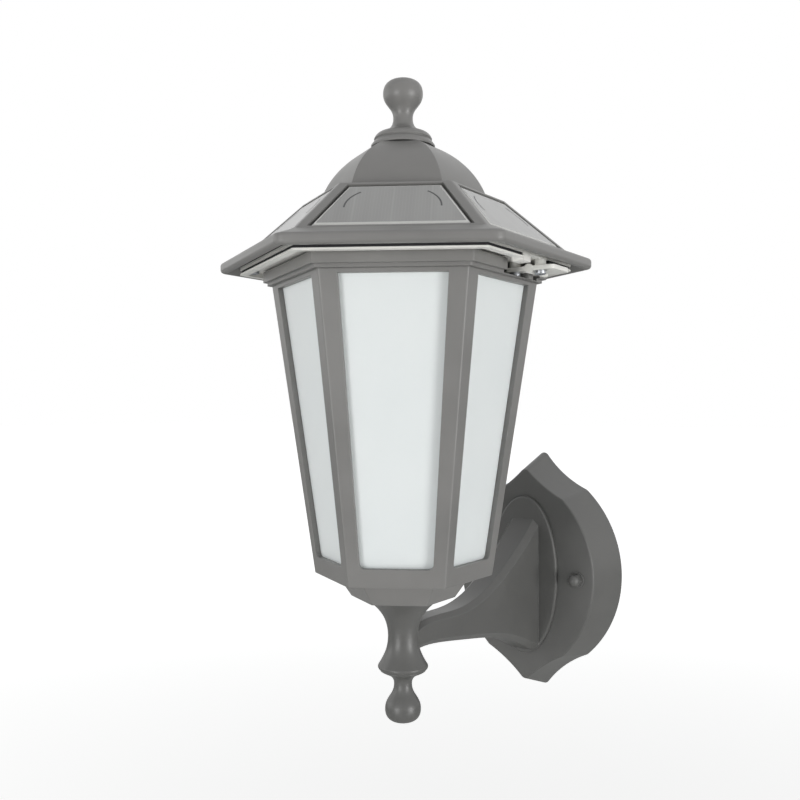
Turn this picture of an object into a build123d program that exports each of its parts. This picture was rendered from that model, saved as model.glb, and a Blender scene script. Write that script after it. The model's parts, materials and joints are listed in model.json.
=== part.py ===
from build123d import *
import os
from math import atan2, cos, pi, sin, sqrt

# Solar wall light: a six-sided lantern on a flared arm and a pointed wall plate.
# Millimetres. The wall is the plane Y = 0, +Z is up, and the lantern hangs out towards -Y.
# Lantern pieces are drawn about their own upright axis and moved out to it when written.

# Overall
axis_reach = 180.0
sides = 6

# Clearances
seat_gap = 0.05
thread_gap = 0.05
bolt_gap = 0.2
pin_gap = 0.05
moving_gap = 0.3

# Screws: head size against the shank's radius
head_ratio = 1.8
head_height_ratio = 1.3
screw_angles = (90.0, 210.0, 330.0)

# Wall plate
plate_depth = 31.0
plate_wall = 3.0
plate_half_width = 58.2
plate_half_height = 86.0
plate_shoulder_x = 33.0
plate_shoulder_z = 57.6
plate_hollow_sag = 3.3
plate_bevel = 7.8
plate_tip_ratio = 1.55
plate_shoulder_ratio = 0.62
plate_sag_ratio = 0.22
plate_edge_round = 1.0
plate_tip_round = 4.0
plate_shoulder_round = 6.0
seal_width = 4.0
seal_depth = 4.0

# Wall strap and the nuts that hold the plate on it
strap_width = 24.0
strap_thickness = 2.0
strap_clear = 3.6
strap_margin = 8.0
slot_spacing = 40.0
slot_length = 12.0
slot_width = 5.2
stud_r = 2.5
washer_r = 5.4
washer_thickness = 1.0
nut_r = 4.6
nut_height = 4.0

# Arm
foot_half_width = 25.0
foot_half_height = 54.0
foot_thickness = 2.6
arm_foot_top_inset = 14.5
arm_foot_bottom_inset = 2.5
arm_foot_half_width = 11.5
arm_neck_top_drop = 19.8
arm_neck_bottom_drop = 31.6
arm_neck_half_width = 7.0
arm_edge = 0.34
arm_screw_r = 2.0
arm_screw_bite = 14.0
arm_screw_top = 20.0
arm_screw_bottom = -34.0
# Share of the way out to the foot, and how much of the rise above and of the drop below is reached there
arm_stations = (
    (0.0, 0.0, 0.0),
    (0.31, 0.09, 0.064),
    (0.52, 0.182, 0.225),
    (0.71, 0.427, 0.427),
    (0.87, 0.709, 0.714),
    (1.0, 1.0, 1.0),
)

# Hub of the arm and the turned drop under it
hub_waist_r = 8.4
hub_waist_drop = 22.0
hub_set_in = 9.2
hub_lip = 1.2
hub_rim_r = 14.0
hub_rim_height = 1.5
hub_height = 40.3
hub_bottom_r = 12.9
drop_neck_r = 5.0
drop_neck_drop = 8.1
drop_r = 10.0
drop_ball_drop = 22.0
drop_tip_drop = 29.4

# Tie bolt
tie_r = 4.0
tie_bite = 14.0
tie_nut_r = 7.5
tie_nut_height = 6.5
tie_washer_r = 9.0
tie_washer_thickness = 1.6
tie_stick_out = 2.0

# Cup under the cage
cup_bottom_z = 9.8
cup_height = 12.6
cup_flare = 8.9
cup_set_in = 11.6
cup_wall = 2.4
cup_floor = 2.6
cup_corner = 1.2

# Cage
frame_height = 161.3
frame_bottom_r = 49.7
frame_top_r = 74.5
frame_wall = 3.0
frame_corner = 1.4
frame_flange = 3.0
flange_lap = 6.1
bottom_rail = 9.8
top_rail = 2.2
post_bottom = 6.7
post_top = 9.6
window_round = 3.0
pane_thickness = 2.0
pane_lap = 3.2
strip_thickness = 1.6
strip_set_back = 0.8
floor_thickness = 2.5
floor_screw_inset = 11.2
floor_screw_r = 1.5

# Collar on top of the cage
collar_overhang = 5.2
collar_band_height = 5.9
collar_step_out = 2.8
collar_step_height = 1.9
collar_ledge = 8.0
collar_corner = 1.6
roof_seal_set_back = 3.2
roof_seal_set_in = 2.5
roof_seal_thickness = 0.8

# Roof hinge, on the +X side
hinge_out = 3.4
hinge_drop = 4.6
hinge_y = 20.5
leaf_width = 20.0
leaf_inner = 14.4
leaf_outer = 14.4
leaf_thickness = 2.4
leaf_end_wall = 1.4
barrel_r = 2.5
hinge_pin_r = 1.2
lug_width = 5.0
lug_root = 8.0
lug_root_drop = 1.6
hinge_screw_inner = 9.6
hinge_screw_edge = 3.0
hinge_screw_shift = 6.2
hinge_screw_r = 1.7
hinge_boss_r = 3.0
leaf_slot = 6.4
notch_margin = 1.2
notch_front = 16.5
head_clear = 0.3

# Catch, on the -X side
striker_width = 12.0
striker_depth = 5.0
striker_drop = 6.0
clip_thickness = 0.6
clip_height = 5.0
clip_rivet_r = 1.2
rivet_room = 6.0
rivet_bite = 5.0

# Tray under the roof
tray_overhang = 13.3
tray_corner = 2.0
tray_floor = 2.0
tray_rim_drop = 2.7
tray_wall = 4.0
rim_lip = 1.1
rim_groove = 2.6
tray_seal_set_back = 0.9
rim_notch_front = 31.5
rim_notch_back = 0.5
stop_width = 8.0
stop_depth = 6.5
stop_drop = 4.1
tray_screw_inset = 8.5
tray_screw_r = 1.5
tray_boss_r = 3.5

# Light source
led_board_clear = 1.3
led_board_thickness = 1.6
led_inset = 8.0
led_count = 6
led_r = 2.5
led_height = 1.4

# Controller board
board_length = 46.0
board_width = 28.0
board_thickness = 1.6
board_y = -12.0
board_standoff = 4.0
board_screw_r = 1.2
board_screw_inset = 3.5
board_boss_r = 2.4

# Battery
cell_r = 7.1
cell_length = 50.0
cell_room = 0.6
box_wall = 1.6
contact_thickness = 0.6
door_clear = 3.3
door_lap = 2.0
door_thickness = 1.5
door_tab = 6.0
door_screw_r = 1.2

# Slide switch
switch_clear = 17.0
switch_length = 14.0
switch_width = 7.0
switch_height = 6.0
switch_travel = 3.0
knob_length = 5.0
knob_width = 2.4
knob_drop = 3.0

# Roof: eave and panel tier
eave_overhang = 12.0
eave_band = 5.3
eave_corner = 6.5
eave_round = 2.0
eave_wall = 3.6
eave_over_tray = 1.2
skirt_height = 4.5
tier_set_back = 1.9
tier_height = 28.5
tier_run = 34.3
tier_corner = 2.0
tier_wall = 3.6
tier_opening_inset = 13.0
panel_recess = 2.4
panel_side_margin = 4.8
panel_end_margin = 1.6
panel_gap = 1.2
panel_thickness = 2.1
panel_bevel = 1.0
lead_hole_r = 1.5

# Roof crown
ledge_width = 9.4
crown_top_r = 18.6
crown_height = 30.8
crown_bulge = 4.4
crown_wall = 2.6
crown_screw_inset = 8.4
crown_screw_r = 1.5
crown_boss_r = 3.4
crown_boss_height = 9.0

# Top finial
collar_ring_set_back = 0.6
collar_ring_taper = 3.4
collar_ring_height = 8.2
collar_ring_groove = 0.7
finial_base_set_back = 3.6
finial_neck_r = 5.5
finial_neck_z = 8.6
finial_ball_r = 11.2
finial_ball_z = 22.4
finial_height = 30.6
finial_stud_r = 3.0
finial_bite = 9.0
finial_nut_r = 5.8
finial_nut_height = 5.0
finial_washer_r = 7.0
finial_washer_thickness = 1.2

# Radii that follow from the sizes above
flat = cos(pi / sides)
turn = 360.0 / sides
cup_top_r = frame_bottom_r - cup_set_in
cup_bottom_r = cup_top_r - cup_flare
hub_top_r = cup_bottom_r - hub_set_in
flange_opening_r = cup_top_r - flange_lap
floor_screw_circle = frame_bottom_r - floor_screw_inset
collar_band_r = frame_top_r + collar_overhang
collar_step_r = frame_top_r + collar_step_out
collar_inner_r = frame_top_r - collar_ledge
roof_seal_outer_r = collar_band_r - roof_seal_set_back
roof_seal_inner_r = collar_inner_r + roof_seal_set_in
tray_r = collar_band_r + tray_overhang
tray_screw_circle = tray_r - tray_screw_inset
eave_r = tray_r + eave_overhang
eave_inner_r = eave_r - eave_wall / flat
tier_bottom_r = tray_r - tier_set_back
tier_top_r = tier_bottom_r - tier_run
crown_base_r = tier_top_r - ledge_width
crown_screw_circle = crown_base_r - crown_screw_inset
tier_opening_r = crown_base_r - tier_opening_inset
collar_ring_bottom_r = crown_top_r - collar_ring_set_back
collar_ring_top_r = collar_ring_bottom_r - collar_ring_taper
finial_base_r = collar_ring_top_r - finial_base_set_back

# Heights that follow from the sizes above
hub_waist_z = cup_bottom_z - hub_waist_drop
hub_bottom_z = cup_bottom_z - hub_height
hub_rim_z = hub_bottom_z + hub_rim_height
drop_neck_z = hub_bottom_z - drop_neck_drop
drop_z = hub_bottom_z - drop_ball_drop
drop_tip_z = hub_bottom_z - drop_tip_drop
arm_neck_top = cup_bottom_z - arm_neck_top_drop
arm_neck_bottom = cup_bottom_z - arm_neck_bottom_drop
arm_foot_top = foot_half_height - arm_foot_top_inset
arm_foot_bottom = arm_foot_bottom_inset - foot_half_height
frame_bottom_z = cup_bottom_z + cup_height
frame_top_z = frame_bottom_z + frame_height
floor_z = frame_bottom_z + frame_flange
floor_top_z = floor_z + floor_thickness
collar_band_z = frame_top_z + collar_step_height
collar_top_z = collar_band_z + collar_band_height
tray_z = collar_top_z + roof_seal_thickness + moving_gap
tray_top_z = tray_z + tray_floor
eave_z = tray_z - tray_rim_drop + eave_over_tray
skirt_z = eave_z + eave_band
tier_z = skirt_z + skirt_height
ledge_z = tier_z + tier_height
crown_top_z = ledge_z + crown_height
finial_z = crown_top_z + collar_ring_height
collar_face = collar_band_r * flat
hinge_x = collar_face + hinge_out
hinge_z = tray_z - hinge_drop
leaf_z = hinge_z - leaf_thickness / 2
window_low_z = frame_bottom_z + bottom_rail
window_high_z = frame_top_z - top_rail
pane_low_z = window_low_z - pane_lap
pane_high_z = frame_top_z - moving_gap
tray_rim_z = tray_z - tray_rim_drop
rim_groove_z = tray_rim_z + rim_lip
cell_z = tray_z + moving_gap + cell_r
clip_low_z = tray_z - striker_drop - moving_gap - clip_thickness
clip_rivet_z = clip_low_z + clip_height / 2

# Places that follow from the sizes above
seal_outer_inset = plate_wall + plate_bevel * seal_depth / plate_depth + seat_gap
strap_end = plate_half_width - seal_outer_inset - seal_width - strap_clear
stud_places = (strap_margin - strap_end, strap_end - strap_margin)
arm_screw_places = (arm_screw_top, arm_screw_bottom)
arm_end = plate_depth + seat_gap + foot_thickness / 2
lug_slot_half = lug_width / 2 + moving_gap
hinge_screw_y = hinge_y - hinge_screw_shift
hinge_screw_places = (hinge_x - hinge_screw_inner, tray_r * flat - hinge_screw_edge)
rim_notch = (hinge_y - rim_notch_front, hinge_y - rim_notch_back)
rim_groove_r = tray_r - rim_groove / flat
leaf_notch = (hinge_y - leaf_width / 2 - notch_front, hinge_y + leaf_width / 2 + notch_margin)
rivet_out = (striker_width + rivet_room) / 2
rivet_places = (-rivet_out, rivet_out)
clip_inner = collar_face + seat_gap
striker_inner = clip_inner + clip_thickness + moving_gap
striker_outer = striker_inner + striker_depth
clip_outer = striker_outer + moving_gap
cell_bay_half = cell_length / 2 + contact_thickness + 2 * seat_gap
door_screw_x = cell_bay_half + door_lap + door_tab / 2
door_half_width = cell_r + cell_room + door_lap
door_end = cell_bay_half + door_lap + door_tab
battery_y = collar_inner_r - door_end / (2 * flat) - door_half_width - door_clear
led_board_r = battery_y - door_half_width - led_board_clear
led_circle = led_board_r - led_inset
switch_y = -led_board_r - switch_clear
board_screw_x = board_length / 2 - board_screw_inset
board_screw_y = board_width / 2 - board_screw_inset
board_screw_places = [(x, board_y + y) for x in (-board_screw_x, board_screw_x)
                      for y in (-board_screw_y, board_screw_y)]

# Face of the panel tier on the +X side, with Y up the slope
facet_run = (tier_bottom_r - tier_top_r) * flat
facet_slope = atan2(tier_height, facet_run)
facet_length = sqrt(facet_run ** 2 + tier_height ** 2)
tier_drop = tier_wall / cos(facet_slope)
facet_plane = Plane(
    origin=((tier_bottom_r + tier_top_r) / 2 * flat, 0, tier_z + tier_height / 2),
    x_dir=(0, 1, 0),
    z_dir=(sin(facet_slope), 0, cos(facet_slope)),
)


# Helpers

def hexagon(radius, corner=0.0):
    """Hexagon with corners towards the wall and away from it, its corners rounded."""
    outline = RegularPolygon(radius, sides, rotation=90)
    if corner > 0:
        outline = fillet(outline.vertices(), corner)
    return outline


def hex_taper(low_r, low_z, high_r, high_z, corner=0.0, high_corner=None):
    """Six-sided solid between two heights."""
    if high_corner is None:
        high_corner = corner
    low = Pos(0, 0, low_z) * hexagon(low_r, corner)
    high = Pos(0, 0, high_z) * hexagon(high_r, high_corner)
    return loft([low.face(), high.face()], ruled=True)


def between(z, low_z, low_value, high_z, high_value):
    """Value on the straight line between two heights."""
    return low_value + (high_value - low_value) * (z - low_z) / (high_z - low_z)


def around(shape):
    """One copy of a shape for each side of the lantern, turned about its axis."""
    return [Rot(0, 0, turn * step) * shape for step in range(sides)]


def cylinder(radius, low_z, high_z, x=0.0, y=0.0):
    """Upright cylinder between two heights."""
    return Pos(x, y, (low_z + high_z) / 2) * Cylinder(radius, high_z - low_z)


def block(x_span, y_span, z_span):
    """Box given by its low and high value on each axis."""
    spans = (x_span, y_span, z_span)
    size = [high - low for low, high in spans]
    middle = [(high + low) / 2 for low, high in spans]
    return Pos(*middle) * Box(*size)


def middle_span(centre, half):
    """Low and high value of a span given by its middle."""
    return (centre - half, centre + half)


def turned(*edges):
    """Solid of revolution about the upright axis, from an outline of radius and height."""
    return revolve(Plane.XZ * make_face(edges), Axis.Z)


def polar(radius, angle):
    """X and Y of a point at an angle about the lantern's axis."""
    return radius * cos(angle * pi / 180), radius * sin(angle * pi / 180)


def screw(shank_r, length):
    """Pan-head screw with a cross recess: the head hangs below Z = 0, the shank goes up."""
    head_r = shank_r * head_ratio
    head_height = shank_r * head_height_ratio
    head = cylinder(head_r, -head_height, 0)
    head = fillet(head.edges().group_by(Axis.Z)[0], head_height * 0.45)
    slot = Box(head_r * 1.2, head_r * 0.28, head_height * 0.8)
    recess = Pos(0, 0, -head_height) * (slot + Rot(0, 0, 90) * slot)
    return head + cylinder(shank_r, 0, length) - recess


# Wall plate and strap

def plate_outline(inset):
    """Pointed outline of the wall plate in X and Z, drawn in from the wall outline."""
    half_width = plate_half_width - inset
    tip = plate_half_height - inset * plate_tip_ratio
    shoulder_x = plate_shoulder_x - inset * plate_shoulder_ratio
    shoulder_z = plate_shoulder_z - inset * plate_shoulder_ratio
    sag = plate_hollow_sag - inset * plate_sag_ratio
    run = sqrt(shoulder_x ** 2 + (tip - shoulder_z) ** 2)
    hollow_x = shoulder_x / 2 - sag * (tip - shoulder_z) / run
    hollow_z = (tip + shoulder_z) / 2 - sag * shoulder_x / run
    edges = []
    for side in (1, -1):
        edges.append(ThreePointArc((0, tip), (side * hollow_x, hollow_z), (side * shoulder_x, shoulder_z)))
        edges.append(ThreePointArc(
            (side * shoulder_x, shoulder_z), (side * half_width, 0), (side * shoulder_x, -shoulder_z)))
        edges.append(ThreePointArc((0, -tip), (side * hollow_x, -hollow_z), (side * shoulder_x, -shoulder_z)))
    outline = make_face(edges)
    rows = outline.vertices().group_by(Axis.Y)
    outline = fillet(rows[0] + rows[-1], plate_tip_round)
    shoulders = [point for point in outline.vertices() if abs(abs(point.X) - shoulder_x) < seat_gap]
    return fillet(shoulders, plate_shoulder_round)


def plate_solid(inset, depth, bevel):
    """Plate-shaped solid from the wall plane out to a depth, its sides leaning in by the bevel."""
    back = Plane.XZ * plate_outline(inset)
    front = Plane.XZ.offset(depth) * plate_outline(inset + bevel)
    return loft([back.face(), front.face()], ruled=True)


def make_wall_plate():
    inner_depth = plate_depth - plate_wall
    inner_bevel = plate_bevel * inner_depth / plate_depth
    plate = plate_solid(0, plate_depth, plate_bevel)
    plate = fillet(plate.faces().sort_by(Axis.Y)[0].edges(), plate_edge_round)
    plate -= plate_solid(plate_wall, inner_depth, inner_bevel)
    for x in stud_places:
        plate -= Pos(x, 0, 0) * Rot(90, 0, 0) * cylinder(stud_r + bolt_gap, 0, plate_depth)
    for z in arm_screw_places:
        plate -= Pos(0, 0, z) * Rot(90, 0, 0) * cylinder(arm_screw_r + bolt_gap, 0, plate_depth)
    return plate


def make_plate_seal():
    ring = plate_outline(seal_outer_inset) - plate_outline(seal_outer_inset + seal_width)
    return extrude(Plane.XZ * ring, seal_depth)


def make_wall_strap():
    strap = block(middle_span(0, strap_end), (-strap_thickness, 0), middle_span(0, strap_width / 2))
    for x in stud_places:
        strap -= Pos(x, 0, 0) * Rot(90, 0, 0) * cylinder(stud_r + thread_gap, 0, strap_thickness)
    for x in middle_span(0, slot_spacing / 2):
        slot = Pos(x, 0) * SlotOverall(slot_length, slot_width)
        strap -= extrude(Plane.XZ * slot, strap_thickness)
    return strap


def make_strap_studs():
    end = plate_depth + washer_thickness + nut_height
    return Compound([Pos(x, 0, 0) * Rot(90, 0, 0) * cylinder(stud_r, 0, end) for x in stud_places])


def make_cap_washers():
    low = plate_depth + seat_gap
    washer = cylinder(washer_r, low, low + washer_thickness)
    washer -= cylinder(stud_r + bolt_gap, low, low + washer_thickness)
    return Compound([Pos(x, 0, 0) * Rot(90, 0, 0) * washer for x in stud_places])


def make_cap_nuts():
    low = plate_depth + washer_thickness + 2 * seat_gap
    dome_r = nut_r * cos(pi / sides)
    skirt = extrude(Pos(0, 0, low) * RegularPolygon(nut_r, sides), nut_height)
    dome = turned(
        Line((0, low), (dome_r, low)),
        Line((dome_r, low), (dome_r, low + nut_height)),
        ThreePointArc((dome_r, low + nut_height),
                      (dome_r * 0.72, low + nut_height + dome_r * 0.66),
                      (0, low + nut_height + dome_r * 0.95)),
        Line((0, low + nut_height + dome_r * 0.95), (0, low)),
    )
    nut = skirt + dome - cylinder(stud_r + thread_gap, low, low + nut_height)
    return Compound([Pos(x, 0, 0) * Rot(90, 0, 0) * nut for x in stud_places])


# Arm, hub and drop

def arm_section(share, rise, drop):
    """Eight-sided section of the arm, a share of the way from the hub to the foot."""
    half = arm_neck_half_width + (arm_foot_half_width - arm_neck_half_width) * share
    top = arm_neck_top + (arm_foot_top - arm_neck_top) * rise
    bottom = arm_neck_bottom + (arm_foot_bottom - arm_neck_bottom) * drop
    cut = half * arm_edge
    right = [(half - cut, top), (half, top - cut), (half, bottom + cut), (half - cut, bottom)]
    left = [(-x, z) for x, z in reversed(right)]
    out_from_wall = axis_reach - (axis_reach - arm_end) * share
    return (Plane.XZ.offset(out_from_wall) * make_face(Polyline(*right, *left, close=True))).face()


def make_hub():
    top_r = hub_top_r
    lip_z = cup_bottom_z - seat_gap - hub_lip
    top_z = cup_bottom_z - seat_gap
    rim_start = (hub_rim_r * 0.97, hub_rim_z + (hub_rim_z - hub_bottom_z) * 0.8)
    return turned(
        Line((0, top_z), (top_r, top_z)),
        Line((top_r, top_z), (top_r, lip_z)),
        Spline([(top_r, lip_z), (hub_waist_r, hub_waist_z)], tangents=[(-1, -0.8), (0, -1)]),
        Spline([(hub_waist_r, hub_waist_z), rim_start], tangents=[(0, -1), (0.6, -1)]),
        ThreePointArc(rim_start, (hub_rim_r, hub_rim_z), (hub_bottom_r, hub_bottom_z)),
        Line((hub_bottom_r, hub_bottom_z), (0, hub_bottom_z)),
        Line((0, hub_bottom_z), (0, top_z)),
    )


def make_arm():
    beam = loft([arm_section(*station) for station in arm_stations])
    foot_back = plate_depth + seat_gap
    foot = extrude(Plane.XZ.offset(foot_back) * Ellipse(foot_half_width, foot_half_height), foot_thickness)
    foot = fillet(foot.faces().sort_by(Axis.Y)[0].edges(), foot_thickness * 0.4)
    arm = beam + foot + Pos(0, -axis_reach, 0) * make_hub()
    arm -= cylinder(tie_r + bolt_gap, hub_bottom_z, cup_bottom_z, y=-axis_reach)
    for z in arm_screw_places:
        bite = Rot(90, 0, 0) * cylinder(arm_screw_r + thread_gap, plate_depth, plate_depth + arm_screw_bite)
        arm -= Pos(0, 0, z) * bite
    return arm


def make_arm_screws():
    length = plate_wall + arm_screw_bite - bolt_gap
    seat = -(plate_depth - plate_wall - seat_gap)
    return Compound([Pos(0, seat, z) * Rot(90, 0, 0) * screw(arm_screw_r, length) for z in arm_screw_places])


def make_bottom_finial():
    top_z = hub_bottom_z - seat_gap
    lip_r = hub_bottom_r - bolt_gap
    lip_z = top_z - hub_lip / 2
    drop = turned(
        Line((0, top_z), (lip_r, top_z)),
        Line((lip_r, top_z), (lip_r, lip_z)),
        Spline([(lip_r, lip_z), (drop_neck_r, drop_neck_z)], tangents=[(-1, -0.7), (0, -1)]),
        Spline([(drop_neck_r, drop_neck_z), (drop_r, drop_z)], tangents=[(0, -1), (0, -1)]),
        Spline([(drop_r, drop_z), (0, drop_tip_z)], tangents=[(0, -1), (-1, 0)]),
        Line((0, drop_tip_z), (0, top_z)),
    )
    return drop - cylinder(tie_r + thread_gap, top_z - tie_bite - bolt_gap, top_z)


# Tie bolt

def make_tie_bolt():
    top_z = floor_top_z + tie_washer_thickness + tie_nut_height + tie_stick_out
    return cylinder(tie_r, hub_bottom_z - tie_bite, top_z)


def make_tie_washer():
    low = floor_top_z + seat_gap
    high = low + tie_washer_thickness
    return cylinder(tie_washer_r, low, high) - cylinder(tie_r + bolt_gap, low, high)


def make_tie_nut():
    low = floor_top_z + tie_washer_thickness + 2 * seat_gap
    nut = extrude(Pos(0, 0, low) * RegularPolygon(tie_nut_r, sides), tie_nut_height)
    return nut - cylinder(tie_r + thread_gap, low, low + tie_nut_height)


# Cup and cage

def make_base_cup():
    rim_z = frame_bottom_z - seat_gap
    floor_z_inside = cup_bottom_z + cup_floor
    inset = cup_wall / flat
    low_r = between(floor_z_inside, cup_bottom_z, cup_bottom_r, frame_bottom_z, cup_top_r)
    cup = hex_taper(cup_bottom_r, cup_bottom_z, cup_top_r, rim_z, cup_corner)
    cup -= hex_taper(low_r - inset, floor_z_inside, cup_top_r - inset, rim_z)
    return cup - cylinder(tie_r + bolt_gap, cup_bottom_z, floor_z_inside)


def body_r(z):
    """Corner radius of the cage's outside at a height."""
    return between(z, frame_bottom_z, frame_bottom_r, frame_top_z, frame_top_r)


def body_solid(depth, low_z, high_z, corner=0.0):
    """Six-sided solid that lies a depth inside the cage's outer faces."""
    lean = atan2((frame_top_r - frame_bottom_r) * flat, frame_height)
    inset = depth / (flat * cos(lean))
    return hex_taper(body_r(low_z) - inset, low_z, body_r(high_z) - inset, high_z, corner)


def window_half(z):
    """Half the width of a window at a height."""
    return body_r(z) / 2 - between(z, window_low_z, post_bottom, window_high_z, post_top)


def window_prism(low_z, high_z, margin, corner=0.0):
    """Prism through the +X face of the cage, wider than the window by a margin."""
    low_half = window_half(low_z) + margin
    high_half = window_half(high_z) + margin
    outline = make_face(Polyline((-low_half, low_z), (low_half, low_z), (high_half, high_z),
                                 (-high_half, high_z), close=True))
    if corner > 0:
        outline = fillet(outline.vertices().group_by(Axis.Y)[0], corner)
    return extrude(Plane.YZ * outline, frame_top_r)


def make_lantern_frame():
    cage = body_solid(0, frame_bottom_z, frame_top_z, frame_corner)
    cage -= body_solid(frame_wall, floor_z, frame_top_z)
    cage -= hex_taper(flange_opening_r, frame_bottom_z, flange_opening_r, floor_z)
    for window in around(window_prism(window_low_z, window_high_z, 0, window_round)):
        cage -= window
    for angle in screw_angles:
        x, y = polar(floor_screw_circle, angle)
        cage -= cylinder(floor_screw_r + thread_gap, frame_bottom_z, floor_z, x, y)
    return cage


def make_lantern_floor():
    low = floor_z + seat_gap
    room = (frame_wall + moving_gap) / flat
    floor = hex_taper(body_r(floor_z) - room, low, body_r(floor_z) - room, floor_top_z)
    floor -= cylinder(tie_r + bolt_gap, low, floor_top_z)
    for angle in screw_angles:
        x, y = polar(floor_screw_circle, angle)
        floor -= cylinder(floor_screw_r + bolt_gap, low, floor_top_z, x, y)
    return floor


def make_floor_screws():
    length = floor_thickness + frame_flange - bolt_gap
    screws = []
    for angle in screw_angles:
        x, y = polar(floor_screw_circle, angle)
        screws.append(Pos(x, y, floor_top_z + seat_gap) * Rot(180, 0, 0) * screw(floor_screw_r, length))
    return Compound(screws)


def make_panes():
    near = frame_wall + seat_gap
    sheet = body_solid(near, pane_low_z, pane_high_z)
    sheet -= body_solid(near + pane_thickness, pane_low_z, pane_high_z)
    pane = sheet & window_prism(pane_low_z, pane_high_z, pane_lap)
    return around(pane)


def make_corner_strips():
    near = frame_wall + pane_thickness + 2 * seat_gap
    shell = body_solid(near, pane_low_z, pane_high_z)
    shell -= body_solid(near + strip_thickness, pane_low_z, pane_high_z)
    for gap in around(window_prism(pane_low_z, pane_high_z, strip_set_back)):
        shell -= gap
    return Compound(shell.solids())


# Collar, hinge and catch on the cage

def hinge_rod(radius, length, y):
    """Rod along the roof hinge's axis."""
    return Pos(hinge_x, y, hinge_z) * Rot(90, 0, 0) * Cylinder(radius, length)


def leaf_path(low_z, high_z):
    """Space that the hinge leaf takes through the collar and the seal."""
    low_x = collar_inner_r * flat - notch_margin
    return block((low_x, eave_r), leaf_notch, (low_z, high_z))


def make_top_collar():
    collar = hex_taper(collar_step_r, frame_top_z, collar_step_r, collar_band_z, collar_corner)
    collar += hex_taper(collar_band_r, collar_band_z, collar_band_r, collar_top_z, collar_corner)
    collar -= hex_taper(collar_inner_r, frame_top_z, collar_inner_r, collar_top_z)
    collar -= leaf_path(leaf_z - hinge_screw_r * head_height_ratio - head_clear, collar_top_z)
    lug_y = middle_span(hinge_y, lug_width / 2)
    collar += block((collar_face - lug_root, collar_face), lug_y, (frame_top_z, hinge_z))
    collar += block((collar_face - lug_root, hinge_x), lug_y, (hinge_z - lug_root_drop, hinge_z))
    collar += hinge_rod(barrel_r, lug_width, hinge_y)
    collar -= hinge_rod(hinge_pin_r + pin_gap, lug_width, hinge_y)
    for y in rivet_places:
        collar -= Pos(-collar_face, y, clip_rivet_z) * Rot(0, 90, 0) * cylinder(
            clip_rivet_r + thread_gap, 0, rivet_bite)
    return collar


def make_roof_seal():
    low = collar_top_z + seat_gap
    high = collar_top_z + roof_seal_thickness
    seal = hex_taper(roof_seal_outer_r, low, roof_seal_outer_r, high)
    seal -= hex_taper(roof_seal_inner_r, low, roof_seal_inner_r, high)
    return seal - leaf_path(low, high)


def make_hinge_pin():
    return hinge_rod(hinge_pin_r, leaf_width - leaf_end_wall, hinge_y + leaf_end_wall / 2)


def make_catch_clip():
    wide = striker_width / 2 + rivet_room
    leg = block((-clip_inner - clip_thickness, -clip_inner), middle_span(0, wide),
                (clip_low_z, clip_low_z + clip_height))
    web = block((-clip_outer - clip_thickness, -clip_inner), middle_span(0, striker_width / 2),
                (clip_low_z, clip_low_z + clip_thickness))
    finger = block((-clip_outer - clip_thickness, -clip_outer), middle_span(0, striker_width / 2),
                   (clip_low_z, clip_low_z + clip_height * 0.8))
    clip = leg + web + finger
    for y in rivet_places:
        clip -= Pos(-clip_inner, y, clip_rivet_z) * Rot(0, -90, 0) * cylinder(
            clip_rivet_r + thread_gap, 0, clip_thickness)
    return clip


def make_catch_rivets():
    head = Rot(0, -90, 0) * cylinder(clip_rivet_r * 1.7, 0, clip_rivet_r * 0.6)
    rivet = Pos(-clip_thickness - seat_gap, 0, 0) * head
    rivet += Rot(0, 90, 0) * cylinder(clip_rivet_r, -clip_thickness - seat_gap, rivet_bite - bolt_gap)
    return Compound([Pos(-clip_inner, y, clip_rivet_z) * rivet for y in rivet_places])


# Roof

def facet_outline(end_margin, side_margin):
    """Trapezium on a face of the panel tier, drawn in from the face's edges; Y runs up the slope."""
    half_length = facet_length / 2 - end_margin
    points = []
    for y in (-half_length, half_length):
        radius = between(y, -facet_length / 2, tier_bottom_r, facet_length / 2, tier_top_r)
        points.append((radius / 2 - side_margin, y))
    mirrored = [(-x, y) for x, y in reversed(points)]
    return make_face(Polyline(*points, *mirrored, close=True))


def make_roof_frame():
    roof = hex_taper(eave_r, eave_z, eave_r, skirt_z, eave_corner)
    roof += hex_taper(eave_r, skirt_z, tier_bottom_r, tier_z, eave_corner, tier_corner)
    roof += hex_taper(tier_bottom_r, tier_z, tier_top_r, ledge_z, tier_corner)
    brow = roof.edges().filter_by_position(Axis.Z, skirt_z, skirt_z)
    roof = fillet(roof.edges().group_by(Axis.Z)[0] + brow, eave_round)
    roof -= hex_taper(eave_inner_r, eave_z, tier_bottom_r, tier_z - tier_drop)
    roof -= hex_taper(tier_bottom_r, tier_z - tier_drop, tier_top_r, ledge_z - tier_drop)
    roof -= cylinder(tier_opening_r, ledge_z - tier_drop, ledge_z)
    recess = extrude(facet_outline(panel_end_margin, panel_side_margin), panel_recess)
    recess = facet_plane * Pos(0, 0, -panel_recess) * recess
    lead_hole = facet_plane * cylinder(lead_hole_r, -tier_wall * 2, 0)
    for cut in around(recess) + around(lead_hole):
        roof -= cut
    for angle in screw_angles:
        x, y = polar(tray_screw_circle, angle)
        boss_top = between(
            tray_screw_circle, tier_bottom_r, tier_z - tier_drop, tier_top_r, ledge_z - tier_drop)
        boss = cylinder(tray_boss_r, tray_top_z + seat_gap, boss_top, x, y)
        roof += boss
        roof -= cylinder(tray_screw_r + thread_gap, tray_top_z, boss_top - tray_boss_r / 2, x, y)
    for angle in screw_angles:
        x, y = polar(crown_screw_circle, angle)
        roof -= cylinder(crown_screw_r + bolt_gap, ledge_z - tier_drop, ledge_z, x, y)
    return roof


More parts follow.
